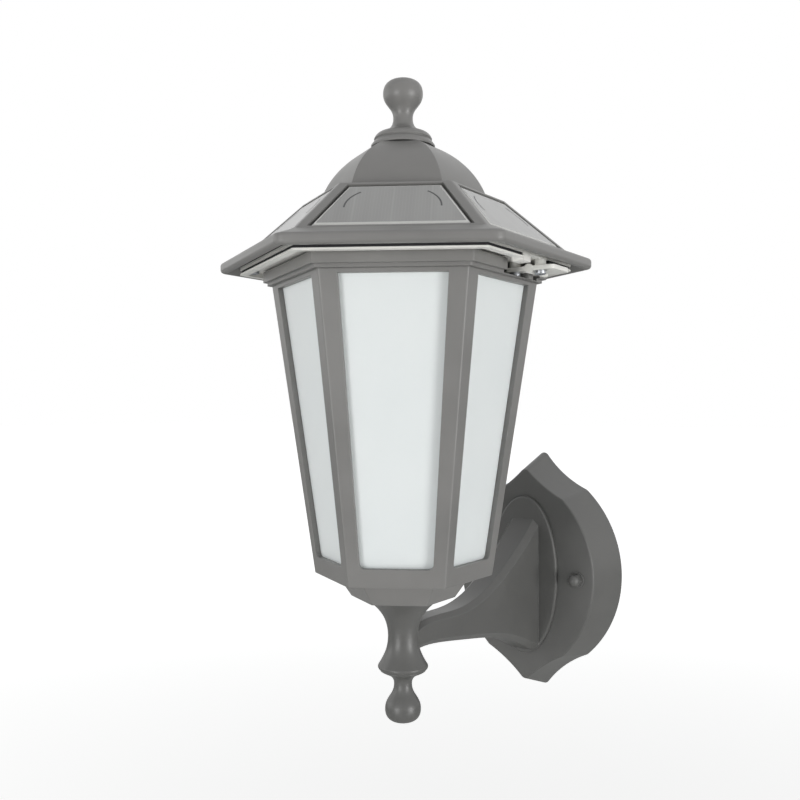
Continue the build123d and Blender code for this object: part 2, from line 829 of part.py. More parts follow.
def make_solar_panels():
    outline = facet_outline(panel_end_margin + panel_gap, panel_side_margin + panel_gap)
    panel = extrude(outline, panel_thickness)
    panel = chamfer(panel.edges().group_by(Axis.Z)[-1], panel_bevel)
    return around(facet_plane * Pos(0, 0, seat_gap - panel_recess) * panel)


def crown_dome(inset):
    """Six-sided dome with curved faces, drawn in from the crown's outside."""
    base = crown_base_r * flat - inset
    top = crown_top_r * flat - inset
    low_z = ledge_z + seat_gap
    high_z = crown_top_z - inset
    chord = sqrt((base - top) ** 2 + (high_z - low_z) ** 2)
    bulge_x = (base + top) / 2 + crown_bulge * (high_z - low_z) / chord
    bulge_z = (low_z + high_z) / 2 + crown_bulge * (base - top) / chord
    arch = make_face([
        Line((-base, low_z), (base, low_z)),
        ThreePointArc((base, low_z), (bulge_x, bulge_z), (top, high_z)),
        Line((top, high_z), (-top, high_z)),
        ThreePointArc((-top, high_z), (-bulge_x, bulge_z), (-base, low_z)),
    ])
    vault = extrude(Plane.XZ * arch, crown_base_r, both=True)
    return vault & Rot(0, 0, turn) * vault & Rot(0, 0, 2 * turn) * vault


def make_roof_crown():
    crown = crown_dome(0)
    room = crown_dome(crown_wall)
    for angle in screw_angles:
        x, y = polar(crown_screw_circle, angle)
        room -= cylinder(crown_boss_r, ledge_z, ledge_z + crown_boss_height, x, y)
    crown -= room
    for angle in screw_angles:
        x, y = polar(crown_screw_circle, angle)
        crown -= cylinder(crown_screw_r + thread_gap, ledge_z, ledge_z + crown_boss_height - crown_wall, x, y)
    return crown - cylinder(finial_stud_r + bolt_gap, ledge_z, crown_top_z)


def make_crown_screws():
    seat = ledge_z - tier_drop - seat_gap
    length = tier_drop + crown_boss_height - crown_wall - bolt_gap
    places = [polar(crown_screw_circle, angle) for angle in screw_angles]
    return Compound([Pos(x, y, seat) * screw(crown_screw_r, length) for x, y in places])


# Finial

def make_finial_collar():
    low = crown_top_z + seat_gap
    groove_z = low + collar_ring_height / 2
    groove_r = (collar_ring_bottom_r + collar_ring_top_r) / 2
    inner_r = finial_stud_r + bolt_gap
    return turned(
        Polyline((inner_r, low), (collar_ring_bottom_r, low), (collar_ring_bottom_r, low + hub_lip),
                 (groove_r, groove_z - collar_ring_groove), (groove_r - collar_ring_groove, groove_z),
                 (groove_r, groove_z + collar_ring_groove)),
        ThreePointArc((groove_r, groove_z + collar_ring_groove),
                      (collar_ring_top_r * 0.99, finial_z - collar_ring_groove),
                      (collar_ring_top_r * 0.9, finial_z)),
        Polyline((collar_ring_top_r * 0.9, finial_z), (inner_r, finial_z), (inner_r, low)),
    )


def make_top_finial():
    low = finial_z + seat_gap
    neck = (finial_neck_r, finial_z + finial_neck_z)
    ball = (finial_ball_r, finial_z + finial_ball_z)
    tip = (0, finial_z + finial_height)
    base = (finial_base_r, low + hub_lip / 2)
    finial = turned(
        Line((0, low), (finial_base_r, low)),
        Line((finial_base_r, low), base),
        Spline([base, neck], tangents=[(-1, 0.45), (0, 1)]),
        Spline([neck, ball], tangents=[(0, 1), (0, 1)]),
        Spline([ball, tip], tangents=[(0, 1), (-1, 0)]),
        Line(tip, (0, low)),
    )
    return finial - cylinder(finial_stud_r + thread_gap, low, low + finial_bite + bolt_gap)


def make_finial_stud():
    low = crown_top_z - crown_wall - finial_washer_thickness - finial_nut_height - hub_lip
    return cylinder(finial_stud_r, low, finial_z + finial_bite)


def make_finial_washer():
    high = crown_top_z - crown_wall - seat_gap
    low = high - finial_washer_thickness
    return cylinder(finial_washer_r, low, high) - cylinder(finial_stud_r + bolt_gap, low, high)


def make_finial_nut():
    high = crown_top_z - crown_wall - finial_washer_thickness - 2 * seat_gap
    nut = extrude(Pos(0, 0, high - finial_nut_height) * RegularPolygon(finial_nut_r, sides), finial_nut_height)
    return nut - cylinder(finial_stud_r + thread_gap, high - finial_nut_height, high)


# Tray and what it carries

def make_light_tray():
    tray = hex_taper(tray_r, tray_z, tray_r, tray_top_z, tray_corner)
    rim = hex_taper(tray_r, tray_rim_z, tray_r, tray_z, tray_corner)
    rim -= hex_taper(tray_r - tray_wall / flat, tray_rim_z, tray_r - tray_wall / flat, tray_z)
    groove = hex_taper(tray_r + tray_wall, rim_groove_z, tray_r + tray_wall, tray_z)
    groove -= hex_taper(rim_groove_r, rim_groove_z, rim_groove_r, tray_z)
    rim -= groove
    rim -= block((collar_face, tray_r), rim_notch, (tray_rim_z, tray_z))
    tray += rim
    tray_face = tray_r * flat
    tray += block((tray_face - stop_depth, tray_face), (rim_notch[0], rim_notch[0] + stop_width),
                  (tray_z - stop_drop, tray_z))
    tray += block((-striker_outer, -striker_inner), middle_span(0, striker_width / 2),
                  (tray_z - striker_drop, tray_z))
    leaf_top = leaf_z + leaf_thickness + seat_gap
    for x in hinge_screw_places:
        tray += cylinder(hinge_boss_r, leaf_top, tray_z, x, hinge_screw_y)
        tray -= cylinder(hinge_screw_r + thread_gap, leaf_top, tray_top_z, x, hinge_screw_y)
    for x, y in board_screw_places:
        tray += cylinder(board_boss_r, tray_top_z, tray_top_z + board_standoff, x, y)
        tray -= cylinder(board_screw_r + thread_gap, tray_top_z, tray_top_z + board_standoff, x, y)
    for angle in screw_angles:
        x, y = polar(tray_screw_circle, angle)
        tray -= cylinder(tray_screw_r + bolt_gap, tray_z, tray_top_z, x, y)
    tray -= block(middle_span(0, cell_bay_half), middle_span(battery_y, cell_r + cell_room),
                  (tray_z, tray_top_z))
    tray -= cylinder(door_screw_r + thread_gap, tray_z, tray_top_z, door_screw_x, battery_y)
    return tray - knob_path(tray_z, tray_top_z)


def make_tray_seal():
    low = rim_groove_z + seat_gap
    high = tray_z - seat_gap
    outer_r = tray_r - tray_seal_set_back
    inner_r = rim_groove_r + seat_gap / flat
    seal = hex_taper(outer_r, low, outer_r, high, tray_corner)
    seal -= hex_taper(inner_r, low, inner_r, high)
    return seal - block((collar_face, tray_r), (rim_notch[0] - seat_gap, rim_notch[1] + seat_gap), (low, high))


def make_tray_screws():
    length = tray_floor + tray_boss_r
    places = [polar(tray_screw_circle, angle) for angle in screw_angles]
    return Compound([Pos(x, y, tray_z - seat_gap) * screw(tray_screw_r, length) for x, y in places])


def make_hinge_leaf():
    leaf = block((hinge_x - leaf_inner, hinge_x + leaf_outer), middle_span(hinge_y, leaf_width / 2),
                 (leaf_z, leaf_z + leaf_thickness))
    leaf = fillet(leaf.edges().filter_by(Axis.Z), leaf_thickness)
    leaf += hinge_rod(barrel_r, leaf_width, hinge_y)
    leaf -= block((hinge_x - leaf_inner, hinge_x + barrel_r + moving_gap),
                  middle_span(hinge_y, lug_slot_half), middle_span(hinge_z, barrel_r))
    for x in hinge_screw_places:
        leaf -= cylinder(hinge_screw_r + bolt_gap, leaf_z, leaf_z + leaf_thickness, x, hinge_screw_y)
    leaf -= block((hinge_screw_places[1], hinge_screw_places[1] + leaf_slot),
                  middle_span(hinge_screw_y, hinge_screw_r + bolt_gap), (leaf_z, leaf_z + leaf_thickness))
    blind_wall = leaf_end_wall - pin_gap
    return leaf - hinge_rod(hinge_pin_r + pin_gap, leaf_width - blind_wall, hinge_y + blind_wall / 2)


def make_hinge_screws():
    length = tray_top_z - leaf_z - hinge_screw_r
    return Compound([Pos(x, hinge_screw_y, leaf_z - seat_gap) * screw(hinge_screw_r, length)
                     for x in hinge_screw_places])


def make_led_board():
    return cylinder(led_board_r, tray_z - led_board_thickness - seat_gap, tray_z - seat_gap)


def make_leds():
    high = tray_z - led_board_thickness - 2 * seat_gap
    led = turned(
        Line((0, high), (led_r, high)),
        Line((led_r, high), (led_r, high - led_height / 3)),
        Spline([(led_r, high - led_height / 3), (0, high - led_height)], tangents=[(0, -1), (-1, 0)]),
        Line((0, high - led_height), (0, high)),
    )
    places = [polar(led_circle, 360.0 / led_count * step) for step in range(led_count)]
    return Compound([led] + [Pos(x, y, 0) * led for x, y in places])


def make_circuit_board():
    low = tray_top_z + board_standoff + seat_gap
    high = low + board_thickness
    board = block(middle_span(0, board_length / 2), middle_span(board_y, board_width / 2), (low, high))
    for x, y in board_screw_places:
        board -= cylinder(board_screw_r + bolt_gap, low, high, x, y)
    return board


def make_board_components():
    low = tray_top_z + board_standoff + board_thickness + 2 * seat_gap
    chip = block((-board_length * 0.22, -board_length * 0.06), middle_span(board_y, board_width * 0.16),
                 (low, low + board_thickness))
    coil = cylinder(board_width * 0.16, low, low + 3 * board_thickness, board_length * 0.16, board_y)
    sensor = block((board_length * 0.3, board_length * 0.42), middle_span(board_y, board_width * 0.1),
                   (low, low + board_thickness))
    return Compound([chip, coil, sensor])


def make_board_screws():
    seat = tray_top_z + board_standoff + board_thickness + 2 * seat_gap
    length = board_thickness + board_standoff - bolt_gap
    return Compound([Pos(x, y, seat) * Rot(180, 0, 0) * screw(board_screw_r, length)
                     for x, y in board_screw_places])


def make_battery_box():
    low = tray_top_z + seat_gap
    high = cell_z + cell_r + cell_room
    bay_y = cell_r + cell_room
    box = block(middle_span(0, cell_bay_half + box_wall), middle_span(battery_y, bay_y + box_wall),
                (low, high + box_wall))
    return box - block(middle_span(0, cell_bay_half), middle_span(battery_y, bay_y), (low, high))


def make_battery_cell():
    nub = cell_r * 0.14
    can_length = cell_length - nub
    can = Pos(-nub / 2, battery_y, cell_z) * Rot(0, 90, 0) * Cylinder(cell_r, can_length)
    can = fillet(can.edges(), cell_r * 0.1)
    tip_x = cell_length / 2 - nub / 2
    return can + Pos(tip_x, battery_y, cell_z) * Rot(0, 90, 0) * Cylinder(cell_r * 0.38, nub)


def make_battery_contacts():
    low_x = cell_length / 2 + seat_gap
    plate = block((low_x, low_x + contact_thickness), middle_span(battery_y, cell_r * 0.7),
                  middle_span(cell_z, cell_r * 0.7))
    return Compound([plate, mirror(plate, Plane.YZ)])


def make_battery_door():
    half = cell_bay_half + door_lap
    high = tray_z - seat_gap
    low = high - door_thickness
    door = block((-half, door_end), middle_span(battery_y, door_half_width), (low, high))
    door = fillet(door.edges().filter_by(Axis.Z), door_lap)
    return door - cylinder(door_screw_r + bolt_gap, low, high, door_screw_x, battery_y)


def make_door_screw():
    seat = tray_z - door_thickness - 2 * seat_gap
    length = door_thickness + tray_floor - bolt_gap
    return Pos(door_screw_x, battery_y, seat) * screw(door_screw_r, length)


def knob_path(low_z, high_z):
    """Slot that the switch knob slides in."""
    low_x = -knob_length / 2 - moving_gap
    high_x = knob_length / 2 + switch_travel + moving_gap
    return block((low_x, high_x), middle_span(switch_y, knob_width / 2 + moving_gap), (low_z, high_z))


def make_switch_body():
    low = tray_top_z + seat_gap
    middle_x = switch_travel / 2
    body = block(middle_span(middle_x, switch_length / 2), middle_span(switch_y, switch_width / 2),
                 (low, low + switch_height))
    return body - knob_path(low, low + switch_height / 2)


def make_switch_knob():
    top_z = tray_top_z + switch_height / 2 - moving_gap
    stem = block(middle_span(0, knob_length / 2), middle_span(switch_y, knob_width / 2),
                 (tray_z - knob_drop, top_z))
    pad = block(middle_span(0, knob_length / 2), middle_span(switch_y, knob_width),
                (tray_z - knob_drop, tray_z - moving_gap))
    for step in (-1, 0, 1):
        ridge_x = step * knob_length / 3.5
        pad -= block(middle_span(ridge_x, knob_length / 14), middle_span(switch_y, knob_width),
                     (tray_z - knob_drop, tray_z - knob_drop + moving_gap))
        stem -= block(middle_span(ridge_x, knob_length / 14), middle_span(switch_y, knob_width),
                      (tray_z - knob_drop, tray_z - knob_drop + moving_gap))
    return stem + pad


# Pieces, wall side first

wall_side = {
    "wall_plate": make_wall_plate(),
    "plate_seal": make_plate_seal(),
    "wall_strap": make_wall_strap(),
    "strap_studs": make_strap_studs(),
    "cap_washers": make_cap_washers(),
    "cap_nuts": make_cap_nuts(),
    "arm": make_arm(),
    "arm_screws": make_arm_screws(),
}

lantern = {
    "bottom_finial": make_bottom_finial(),
    "tie_bolt": make_tie_bolt(),
    "tie_washer": make_tie_washer(),
    "tie_nut": make_tie_nut(),
    "base_cup": make_base_cup(),
    "lantern_frame": make_lantern_frame(),
    "lantern_floor": make_lantern_floor(),
    "floor_screws": make_floor_screws(),
    "corner_strips": make_corner_strips(),
    "top_collar": make_top_collar(),
    "roof_seal": make_roof_seal(),
    "hinge_pin": make_hinge_pin(),
    "catch_clip": make_catch_clip(),
    "catch_rivets": make_catch_rivets(),
    "roof_frame": make_roof_frame(),
    "roof_crown": make_roof_crown(),
    "crown_screws": make_crown_screws(),
    "finial_collar": make_finial_collar(),
    "top_finial": make_top_finial(),
    "finial_stud": make_finial_stud(),
    "finial_washer": make_finial_washer(),
    "finial_nut": make_finial_nut(),
    "light_tray": make_light_tray(),
    "tray_seal": make_tray_seal(),
    "tray_screws": make_tray_screws(),
    "hinge_leaf": make_hinge_leaf(),
    "hinge_screws": make_hinge_screws(),
    "led_board": make_led_board(),
    "leds": make_leds(),
    "circuit_board": make_circuit_board(),
    "board_components": make_board_components(),
    "board_screws": make_board_screws(),
    "battery_box": make_battery_box(),
    "battery_cell": make_battery_cell(),
    "battery_contacts": make_battery_contacts(),
    "battery_door": make_battery_door(),
    "door_screw": make_door_screw(),
    "switch_body": make_switch_body(),
    "switch_knob": make_switch_knob(),
}
for number, pane in enumerate(make_panes(), start=1):
    lantern[f"pane_{number}"] = pane
for number, panel in enumerate(make_solar_panels(), start=1):
    lantern[f"solar_panel_{number}"] = panel

os.makedirs("parts", exist_ok=True)
for name, shape in wall_side.items():
    export_step(shape, f"parts/{name}.step")
for name, shape in lantern.items():
    export_step(Pos(0, -axis_reach, 0) * shape, f"parts/{name}.step")
print("pieces:", len(wall_side) + len(lantern))
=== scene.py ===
# %% [markdown]
# # A solar wall light
# This lesson dresses a wall lantern whose solid model is already packed. The model arrives as one
# object per piece, all in metres and in one frame: the wall is the plane Y = 0, the lantern hangs
# out towards -Y, and +Z is up. We give every piece a finish, rebuild the solar panels with their
# ground edges and leads, and set up a floor, lamps and a camera.

# %% Load the frame
import json
import math
import bmesh
import bpy
from mathutils import Matrix, Vector


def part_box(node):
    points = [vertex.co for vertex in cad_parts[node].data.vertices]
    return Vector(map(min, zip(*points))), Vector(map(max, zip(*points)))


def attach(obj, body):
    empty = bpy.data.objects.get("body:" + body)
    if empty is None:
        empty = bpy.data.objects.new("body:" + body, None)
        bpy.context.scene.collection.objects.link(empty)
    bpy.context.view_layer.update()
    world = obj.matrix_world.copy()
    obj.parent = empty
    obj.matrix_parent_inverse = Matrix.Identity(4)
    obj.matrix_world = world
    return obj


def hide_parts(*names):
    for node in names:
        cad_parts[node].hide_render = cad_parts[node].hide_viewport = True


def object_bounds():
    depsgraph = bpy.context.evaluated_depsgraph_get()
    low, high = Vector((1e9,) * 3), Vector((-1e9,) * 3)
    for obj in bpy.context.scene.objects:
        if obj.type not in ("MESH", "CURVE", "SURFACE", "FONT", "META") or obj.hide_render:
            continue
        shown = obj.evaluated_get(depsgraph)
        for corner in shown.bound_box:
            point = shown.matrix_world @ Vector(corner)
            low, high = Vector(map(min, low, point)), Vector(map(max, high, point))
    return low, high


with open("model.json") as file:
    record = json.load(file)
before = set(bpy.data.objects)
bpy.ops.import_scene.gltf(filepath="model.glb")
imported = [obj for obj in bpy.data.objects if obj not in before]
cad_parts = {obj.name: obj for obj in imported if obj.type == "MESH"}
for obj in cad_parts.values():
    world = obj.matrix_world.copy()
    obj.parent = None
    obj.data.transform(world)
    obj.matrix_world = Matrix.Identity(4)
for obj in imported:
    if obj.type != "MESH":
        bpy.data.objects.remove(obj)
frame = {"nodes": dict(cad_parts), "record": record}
cad_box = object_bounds()
nodes = frame["nodes"]

# %% [markdown]
# ## Small helpers
# Colours are written as the hex codes that a painter would read off a screen. Blender's sockets
# want linear light, so one function converts them. A pattern is thought of in millimetres, while a
# texture's scale counts repeats per metre, so another function turns one into the other. The next
# adds a shader node, sets its properties and fills its sockets: a socket links, anything else
# becomes the value. The last starts a material.

# %% Colour, size and node helpers
def linear(code):
    """Linear RGBA of an sRGB hex code."""
    channels = []
    for start in (0, 2, 4):
        value = int(code[start:start + 2], 16) / 255
        if value <= 0.04045:
            channels.append(value / 12.92)
        else:
            channels.append(((value + 0.055) / 1.055) ** 2.4)
    return (*channels, 1.0)


mm_per_metre = 1000.0


def per_metre(size_mm):
    """Texture scale for a grain of this size in millimetres."""
    return mm_per_metre / size_mm


def add(tree, kind, sockets=None, **settings):
    """A new node with its settings, its linked sockets and its socket values."""
    node = tree.nodes.new(kind)
    for name, value in settings.items():
        setattr(node, name, value)
    for name, value in (sockets or {}).items():
        if isinstance(value, bpy.types.NodeSocket):
            tree.links.new(value, node.inputs[name])
        else:
            node.inputs[name].default_value = value
    return node


def new_material(name):
    """An empty node material, its tree and the socket that its shader goes to."""
    material = bpy.data.materials.new(name)
    material.use_nodes = True
    tree = material.node_tree
    tree.nodes.clear()
    surface = tree.nodes.new("ShaderNodeOutputMaterial").inputs["Surface"]
    return material, tree, surface


print("mid grey is", [round(value, 3) for value in linear("808080")])

# %% [markdown]
# ## Satin paint on cast aluminium
# The bracket, cage and roof are smooth castings under a grey satin paint. Up close such paint has
# an orange peel, its tone drifts a little over a hand's width, and it thins on the edges. Here the
# edges are painted lighter, as wear and as a painted highlight, and the seams are painted darker as
# painted shade. The imported meshes have sharp edges. They could be bevelled, but that would change
# the imported shapes, so a Bevel node rounds them in the shading only, and the angle between that
# rounded normal and the true one finds the edges. Ambient occlusion finds the seams. The real peel
# is finer than this; it is drawn at about 2 mm so that it shows.

# %% Painted castings
tone_drift_mm = 45.0
orange_peel_mm = 1.9
paint_edge_round = 0.0008
seam_shade_reach = 0.006
# A noise seldom leaves this span, so it is stretched from here.
noise_span = {"From Min": 0.3, "From Max": 0.7}


def satin_paint(name, code, worn_highlit_edge_code, painted_seam_shade_code):
    """Paint with tone drift, peel, wear and painted highlight on edges, painted shade in seams."""
    material, tree, surface = new_material(name)
    place = add(tree, "ShaderNodeTexCoord").outputs["Object"]
    drift = add(tree, "ShaderNodeTexNoise", {
        "Vector": place, "Scale": per_metre(tone_drift_mm), "Detail": 3.0, "Roughness": 0.6})
    tone = add(tree, "ShaderNodeMapRange", {
        "Value": drift.outputs["Fac"], **noise_span, "To Min": 0.92, "To Max": 1.07})
    paint = add(tree, "ShaderNodeVectorMath", {
        0: linear(code)[:3], "Scale": tone.outputs["Result"]}, operation="SCALE")
    rounded = add(tree, "ShaderNodeBevel", {"Radius": paint_edge_round}, samples=6)
    true_normal = add(tree, "ShaderNodeNewGeometry").outputs["Normal"]
    turn = add(tree, "ShaderNodeVectorMath", {
        0: rounded.outputs["Normal"], 1: true_normal}, operation="DOT_PRODUCT")
    # The edges are painted lighter: partly paint worn thin, partly a painted highlight.
    edge = add(tree, "ShaderNodeMapRange", {
        "Value": turn.outputs["Value"], "From Min": 0.985, "From Max": 0.80,
        "To Min": 0.0, "To Max": 0.38})
    worn_and_highlit = add(tree, "ShaderNodeMix", {
        "Factor": edge.outputs["Result"], "A": paint.outputs["Vector"],
        "B": linear(worn_highlit_edge_code)}, data_type="RGBA")
    # Painted shade: where ambient occlusion finds a seam, the paint is mixed towards a darker grey.
    open_air = add(tree, "ShaderNodeAmbientOcclusion", {"Distance": seam_shade_reach}, samples=6)
    painted_seam_shade = add(tree, "ShaderNodeMapRange", {
        "Value": open_air.outputs["AO"], "From Min": 0.15, "From Max": 0.7,
        "To Min": 0.45, "To Max": 0.0})
    seam_shaded = add(tree, "ShaderNodeMix", {
        "Factor": painted_seam_shade.outputs["Result"], "A": worn_and_highlit.outputs["Result"],
        "B": linear(painted_seam_shade_code)}, data_type="RGBA")
    peel = add(tree, "ShaderNodeTexNoise", {
        "Vector": place, "Scale": per_metre(orange_peel_mm), "Detail": 2.0, "Roughness": 0.5})
    gloss = add(tree, "ShaderNodeMapRange", {
        "Value": drift.outputs["Fac"], **noise_span, "To Min": 0.36, "To Max": 0.48})
    bump = add(tree, "ShaderNodeBump", {
        "Strength": 0.10, "Distance": 0.0004, "Height": peel.outputs["Fac"],
        "Normal": rounded.outputs["Normal"]})
    shader = add(tree, "ShaderNodeBsdfPrincipled", {
        "Base Color": seam_shaded.outputs["Result"], "Roughness": gloss.outputs["Result"], "IOR": 1.5,
        "Normal": bump.outputs["Normal"], "Coat Weight": 0.12, "Coat Roughness": 0.3})
    tree.links.new(shader.outputs["BSDF"], surface)
    return material


lantern_paint = satin_paint("satin_paint_on_cast_lantern", "7c7b79", "9d9d9b", "4a4a48")
# The bracket wears the lantern's paint; this darker copy, with its darker edge and seam greys, is
# painted shade.
bracket_paint = satin_paint("satin_paint_darkened_for_shade_on_bracket", "5e5e5c", "8e8e8c", "343433")
print("castings:", lantern_paint.name, bracket_paint.name)

# %% [markdown]
# ## Frosted panes
# The six windows hold milky glass, blasted on the inside. It scatters all the light that reaches
# it, so the panes look evenly white with soft reflections and hide what is behind them. True
# transmission would show the inside and take many samples; a little subsurface light gives the
# milky depth, and a fine grain keeps the face from looking like paper. Real blasting is finer than
# this grain, which is as coarse as it needs to be to show.

# %% Frosted glass
haze_mm = 70.0
blast_grain_mm = 0.6
milk_depth = (0.004, 0.004, 0.004)


def frosted_glass(name, code, shade_code):
    """Milky glass with a soft haze and a fine blasted grain."""
    material, tree, surface = new_material(name)
    place = add(tree, "ShaderNodeTexCoord").outputs["Object"]
    haze = add(tree, "ShaderNodeTexNoise", {
        "Vector": place, "Scale": per_metre(haze_mm), "Detail": 2.0})
    grain = add(tree, "ShaderNodeTexNoise", {
        "Vector": place, "Scale": per_metre(blast_grain_mm), "Detail": 1.0})
    colour = add(tree, "ShaderNodeMix", {
        "Factor": haze.outputs["Fac"], "A": linear(code), "B": linear(shade_code)},
        data_type="RGBA")
    bump = add(tree, "ShaderNodeBump", {
        "Strength": 0.12, "Distance": 0.0002, "Height": grain.outputs["Fac"]})
    shader = add(tree, "ShaderNodeBsdfPrincipled", {
        "Base Color": colour.outputs["Result"], "Roughness": 0.55, "IOR": 1.52,
        "Normal": bump.outputs["Normal"], "Subsurface Weight": 0.35,
        "Subsurface Radius": milk_depth, "Subsurface Scale": 1.0})
    tree.links.new(shader.outputs["BSDF"], surface)
    return material


pane_glass = frosted_glass("frosted_glass_pane", "edf1f0", "e4eaea")
print("panes:", pane_glass.name)

# %% [markdown]
# ## Moulded plastics and rubber
# The tray under the roof and the hinge leaf are white ABS from a polished mould, the switch is
# black with a spark-eroded grain, the cell wears a thin shrink sleeve, and the seals are foam
# rubber. They differ in colour, gloss and grain only, so one recipe serves them: a base colour
# that drifts slightly, a grain of a stated size in millimetres and a roughness. The grain is drawn
# coarser than the real one so that it shows.

# %% Moulded plastics
mould_drift_mm = 33.0
mould_edge_round = 0.0004


def moulded_plastic(name, code, roughness, grain_mm, grain_strength):
    """Plastic or rubber with a slight drift in tone and a moulded grain."""
    material, tree, surface = new_material(name)
    place = add(tree, "ShaderNodeTexCoord").outputs["Object"]
    drift = add(tree, "ShaderNodeTexNoise", {
        "Vector": place, "Scale": per_metre(mould_drift_mm), "Detail": 2.0})
    tone = add(tree, "ShaderNodeMapRange", {
        "Value": drift.outputs["Fac"], **noise_span, "To Min": 0.95, "To Max": 1.02})
    colour = add(tree, "ShaderNodeVectorMath", {
        0: linear(code)[:3], "Scale": tone.outputs["Result"]}, operation="SCALE")
    grain = add(tree, "ShaderNodeTexNoise", {
        "Vector": place, "Scale": per_metre(grain_mm), "Detail": 1.0})
    rounded = add(tree, "ShaderNodeBevel", {"Radius": mould_edge_round}, samples=4)
    bump = add(tree, "ShaderNodeBump", {
        "Strength": grain_strength, "Distance": 0.0002, "Height": grain.outputs["Fac"],
        "Normal": rounded.outputs["Normal"]})
    shader = add(tree, "ShaderNodeBsdfPrincipled", {
        "Base Color": colour.outputs["Vector"], "Roughness": roughness, "IOR": 1.53,
        "Normal": bump.outputs["Normal"]})
    tree.links.new(shader.outputs["BSDF"], surface)
    return material


white_abs = moulded_plastic("white_abs_moulding", "eeede8", 0.42, 0.9, 0.06)
black_abs = moulded_plastic("black_abs_moulding", "262629", 0.5, 0.7, 0.2)
shrink_sleeve = moulded_plastic("blue_shrink_sleeve", "3a6fa8", 0.28, 2.5, 0.08)
led_lens = moulded_plastic("led_lens_resin", "f1e29b", 0.18, 1.5, 0.03)
seal_rubber = moulded_plastic("closed_cell_seal_rubber", "2a2a2d", 0.85, 0.6, 0.5)
print("plastics:", white_abs.name, black_abs.name, shrink_sleeve.name, led_lens.name,
      seal_rubber.name)

# %% [markdown]
# ## Plated steel and sheet aluminium
# Zinc plate is bright with a cool, cloudy bloom; rolled sheet shows streaks along the rolling
# direction. Both are metals, so the colour is that of the reflection and the IOR stays at its
# default. An anisotropic shader could draw the streaks, but it needs tangents, so a noise that a
# Mapping node stretches along one axis does it. Real streaks are finer; these are drawn coarser so
# that they show.

# %% Bare metals
metal_edge_round = 0.0003


def bare_metal(name, code, roughness, stretch, streak_mm):
    """Metal whose tone and gloss follow one streaky or cloudy noise."""
    material, tree, surface = new_material(name)
    place = add(tree, "ShaderNodeTexCoord").outputs["Object"]
    along = add(tree, "ShaderNodeMapping", {"Vector": place, "Scale": stretch})
    streak = add(tree, "ShaderNodeTexNoise", {
        "Vector": along.outputs["Vector"], "Scale": per_metre(streak_mm), "Detail": 3.0})
    tone = add(tree, "ShaderNodeMapRange", {
        "Value": streak.outputs["Fac"], **noise_span, "To Min": 0.88, "To Max": 1.06})
    colour = add(tree, "ShaderNodeVectorMath", {
        0: linear(code)[:3], "Scale": tone.outputs["Result"]}, operation="SCALE")
    gloss = add(tree, "ShaderNodeMapRange", {
        "Value": streak.outputs["Fac"], **noise_span,
        "To Min": roughness - 0.06, "To Max": roughness + 0.08})
    rounded = add(tree, "ShaderNodeBevel", {"Radius": metal_edge_round}, samples=4)
    bump = add(tree, "ShaderNodeBump", {
        "Strength": 0.08, "Distance": 0.0002, "Height": streak.outputs["Fac"],
        "Normal": rounded.outputs["Normal"]})
    shader = add(tree, "ShaderNodeBsdfPrincipled", {
        "Base Color": colour.outputs["Vector"], "Metallic": 1.0,
        "Roughness": gloss.outputs["Result"], "Normal": bump.outputs["Normal"]})
    tree.links.new(shader.outputs["BSDF"], surface)
    return material


cloudy = (1.0, 1.0, 1.0)
rolled_along_y = (1.0, 0.08, 1.0)
rolled_along_z = (1.0, 1.0, 0.05)
zinc_steel = bare_metal("zinc_plated_steel", "b9bcc0", 0.32, cloudy, 4.0)
spring_steel = bare_metal("rolled_spring_steel", "9b9ea3", 0.28, rolled_along_y, 1.2)
sheet_aluminium = bare_metal("rolled_sheet_aluminium", "c6c8ca", 0.38, rolled_along_z, 1.5)
nickel_plate = bare_metal("nickel_plated_contact", "cbc8bf", 0.22, cloudy, 3.0)
print("metals:", zinc_steel.name, spring_steel.name, sheet_aluminium.name, nickel_plate.name)

# %% [markdown]
# ## Circuit boards
# A board is glass cloth in resin under a solder mask. The mask is glossy and lets the copper
# tracks show as slightly paler bands. Real tracks follow a drawing; here nobody reads them, so a
# bent wave texture draws bands at a track's width. A wave repeats every pi / 10 of its coordinate,
# and one repeat is a track and a gap as wide as it.

# %% Solder mask
wave_repeat = math.pi / 10


def solder_mask(name, code, track_code, track_mm):
    """Glossy mask over tracks of this width."""
    material, tree, surface = new_material(name)
    place = add(tree, "ShaderNodeTexCoord").outputs["Object"]
    tracks = add(tree, "ShaderNodeTexWave", {
        "Vector": place, "Scale": wave_repeat * per_metre(2 * track_mm), "Distortion": 3.0,
        "Detail": 1.0, "Detail Scale": 0.6})
    colour = add(tree, "ShaderNodeMix", {
        "Factor": tracks.outputs["Fac"], "A": linear(code), "B": linear(track_code)},
        data_type="RGBA")
    bump = add(tree, "ShaderNodeBump", {
        "Strength": 0.15, "Distance": 0.0001, "Height": tracks.outputs["Fac"]})
    shader = add(tree, "ShaderNodeBsdfPrincipled", {
        "Base Color": colour.outputs["Result"], "Roughness": 0.35, "IOR": 1.55,
        "Normal": bump.outputs["Normal"]})
    tree.links.new(shader.outputs["BSDF"], surface)
    return material


green_mask = solder_mask("green_solder_mask", "1e5a38", "2b6e47", 1.0)
white_mask = solder_mask("white_solder_mask", "e9ebe6", "dfe2dc", 1.6)
print("boards:", green_mask.name, white_mask.name)

# %% [markdown]
# ## Solar laminate
# A solar panel is a sheet of cells under a satin cover. Across the panel run the fine silver
# fingers of the cells and three wider bus bars; the tone drifts in soft upright bands. The panel
# meshes below carry a UV map in millimetres, with U across and V up the slope, so these sizes are
# real ones. Folding U to and fro at half the spacing gives the distance to the nearest line, which
# is simpler than one line at a time. The cover is a coat, and a little sheen stands for the dust
# that makes such covers pale when they are seen at a low angle.

# %% Solar cells and their cover
finger_spacing = 1.6
finger_width = 0.16
bus_spacing = 19.2
bus_width = 0.9
line_share = 0.12
band_width = 16.0
band_length = 250.0


